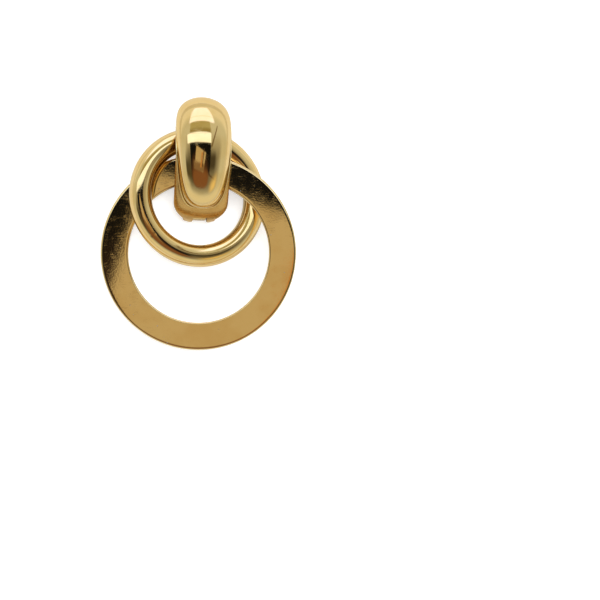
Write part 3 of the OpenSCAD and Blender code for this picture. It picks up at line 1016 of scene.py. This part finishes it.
# %% The roof's patches
# Each patch: colour, low corner, high corner, roundness, softness and turn, in millimetres and degrees.
roof_patches = {
    "front glow": ((0.76, 0.73, 0.60), (-1700, -1600), (1700, -420), 10, 420, 0),
    "back glow": ((0.85, 0.84, 0.78), (-1700, 420), (1700, 1600), 10, 300, 0),
    "strip far": ((1.35, 1.42, 1.95), (-235, 278), (190, 1100), 30, 40, 0),
    "strip line": ((1.10, 1.10, 1.20), (-235, 392), (190, 408), 2, 16, 0),
    "shaded roof": ((0.20, 0.19, 0.15), (-330, -330), (330, 60), 60, 300, 0),
    "shade at left": ((0.09, 0.08, 0.05), (-500, -225), (-160, -10), 90, 150, 0),
    "shade at right": ((0.07, 0.06, 0.04), (40, -95), (215, 15), 40, 70, 0),
    "panel": ((0.47, 0.44, 0.25), (-204, 60), (106, 282), 10, 24, 0),
    "panel foot": ((0.30, 0.25, 0.10), (-204, 140), (106, 188), 6, 44, 0),
    "strip near": ((1.30, 1.42, 1.70), (-292, 71), (110, 148), 8, 10, 0),
    "seam": ((0.16, 0.11, 0.05), (175, 28), (191, 274), 4, 10, -32),
    "opening": ((0.008, 0.008, 0.009), (-216, -105), (108, 71), 8, 10, 0),
    "opening low": ((0.07, 0.035, 0.02), (-216, -245), (90, 0), 125, 60, 0),
    "warm blob": ((0.22, 0.10, 0.045), (-190, -250), (98, -85), 75, 60, 0),
    "lit patch": ((0.55, 0.45, 0.30), (-108, -87), (27, 34), 4, 5, -18),
    "lit patch foot": ((0.25, 0.16, 0.09), (-148, -96), (20, -44), 4, 20, -6),
    "warm stripe": ((0.55, 0.27, 0.09), (-27, -75), (-8, 14), 5, 10, -14),
    "stripe dots": ((0.10, 0.05, 0.02), (-2, -70), (10, 30), 4, 8, -14),
    "crack": ((0.03, 0.02, 0.02), (79, -134), (93, -42), 4, 8, 34),
    "crack foot": ((0.10, 0.06, 0.03), (200, -260), (212, -60), 4, 12, 70),
    "gold blotch": ((0.88, 0.70, 0.35), (180, -330), (340, -165), 60, 150, 20),
}
print("roof patches:", ", ".join(roof_patches))

# %% The roof
ROOF_HEIGHT, ROOF_GLOW = 300, (0.62, 0.63, 0.57)


def lit_roof(patches):
    """A roof that glows by itself, painted with patches one over the other."""
    mat, tree = new_material("tent_roof")
    tree.nodes.clear()
    coords = add(tree, "TexCoord").outputs["Object"]
    in_mm = add(tree, "VectorMath", {0: coords, "Scale": 1 / MM}, operation="SCALE").outputs[0]
    painted = add(tree, "RGB").outputs[0]
    painted.default_value = (*ROOF_GLOW, 1)
    for colour, low, high, roundness, softness, turn in patches.values():
        middle, half = [(a + b) / 2 for a, b in zip(low, high)], [(b - a) / 2 for a, b in zip(low, high)]
        mask = placed_group(tree, patch, Place=in_mm, Middle=(*middle, 0), Half=(*half, 0), Round=roundness,
                            Soft=softness, Turn=math.radians(turn))
        painted = covered(tree, painted, mask, colour)
    light = add(tree, "Emission", {"Color": painted})
    add(tree, "OutputMaterial", {"Surface": light.outputs[0]})
    return mat


roof = stage_sheet("tent_roof", STAGE_HALF, ROOF_HEIGHT, lit_roof(roof_patches))
roof.visible_camera = roof.visible_diffuse = roof.visible_shadow = roof.visible_transmission = False
print("roof:", len(roof.data.materials[0].node_tree.nodes), "nodes")

# %% [markdown]
# ### The tent's walls and the lamp
# A tent lights from all sides at once, and one soft lamp above gives the paper its faint shadows. The
# walls are the world: neutral as light, and a little darker and warmer where the metal mirrors them.
# The lamp isn't mirrored, since the painted roof already shows what hangs up there.

# %% World and lamp
WALL_LIGHT, WALL_MIRRORED, WALL_STRENGTH = (1.0, 0.99, 0.97, 1), (0.94, 0.91, 0.82, 1), 0.72
LAMP_WIDE, LAMP_WATTS, LAMP_AT = 0.7, 4.2, (0.08, 0.12, 0.55)

world = bpy.data.worlds.new("tent")
bpy.context.scene.world = world
world.use_nodes = True
tree = world.node_tree
to_gloss = add(tree, "LightPath").outputs["Is Glossy Ray"]
tent_wall = add(tree, "Mix", {0: to_gloss, 6: WALL_LIGHT, 7: WALL_MIRRORED}, data_type="RGBA")
feed(tree, tree.nodes["Background"].inputs["Color"], tent_wall.outputs[2])
tree.nodes["Background"].inputs["Strength"].default_value = WALL_STRENGTH

lamp_data = bpy.data.lights.new("soft_lamp", "AREA")
lamp_data.shape, lamp_data.size, lamp_data.energy = "DISK", LAMP_WIDE, LAMP_WATTS
lamp = bpy.data.objects.new("soft_lamp", lamp_data)
bpy.context.scene.collection.objects.link(lamp)
lamp.location = LAMP_AT
lamp.rotation_euler = (-lamp.location).to_track_quat("-Z", "Y").to_euler()
lamp.visible_glossy = False
bpy.context.scene.view_settings.view_transform = "Standard"
print("lamp:", LAMP_WATTS, "W at", LAMP_AT)

# %% [markdown]
# ## The camera
# The photograph looks down from about thirty centimetres, a little from the left and from below the
# earring, which lies up and left of the picture's middle. Shifting the lens would place it, but other
# views keep the shift. So the camera aims past the earring: its aim is worked out, in a few rounds,
# from the picture point where the earring's middle has to fall.

# %% Camera
LOOK_FROM = Vector((-0.11, -0.15, 1.0)).normalized()
PIXEL_MM, PICTURE, SENSOR = 0.22773, 600, 36
DISTANCE = 300 * MM
TARGET, TARGET_PIXEL = Vector((0, 0, 6.5)) * MM, (199.5, 222.4)

focal = DISTANCE / (PIXEL_MM * MM)
offset = Vector(((TARGET_PIXEL[0] - PICTURE / 2) / focal, (PICTURE / 2 - TARGET_PIXEL[1]) / focal, -1))


def camera_axes(back):
    """The camera's right and up, for its backward axis."""
    right = Vector((0, 1, 0)).cross(back).normalized()
    return right, back.cross(right)


back = LOOK_FROM.copy()
for _ in range(20):
    right, up = camera_axes(back)
    ray = (right * offset.x + up * offset.y - back).normalized()
    back = (back + LOOK_FROM + ray).normalized()
right, up = camera_axes(back)

cam_data = bpy.data.cameras.new("camera")
camera = bpy.data.objects.new("camera", cam_data)
bpy.context.scene.collection.objects.link(camera)
bpy.context.scene.camera = camera
camera.location = TARGET + LOOK_FROM * DISTANCE
camera.rotation_euler = Matrix((right, up, back)).transposed().to_euler()
cam_data.sensor_width = SENSOR
cam_data.lens = focal * SENSOR / PICTURE * offset.normalized().z * -1
cam_data.clip_start, cam_data.clip_end = 0.01, 10
print("camera at", [round(c, 3) for c in camera.location], "lens", round(cam_data.lens, 1), "mm")
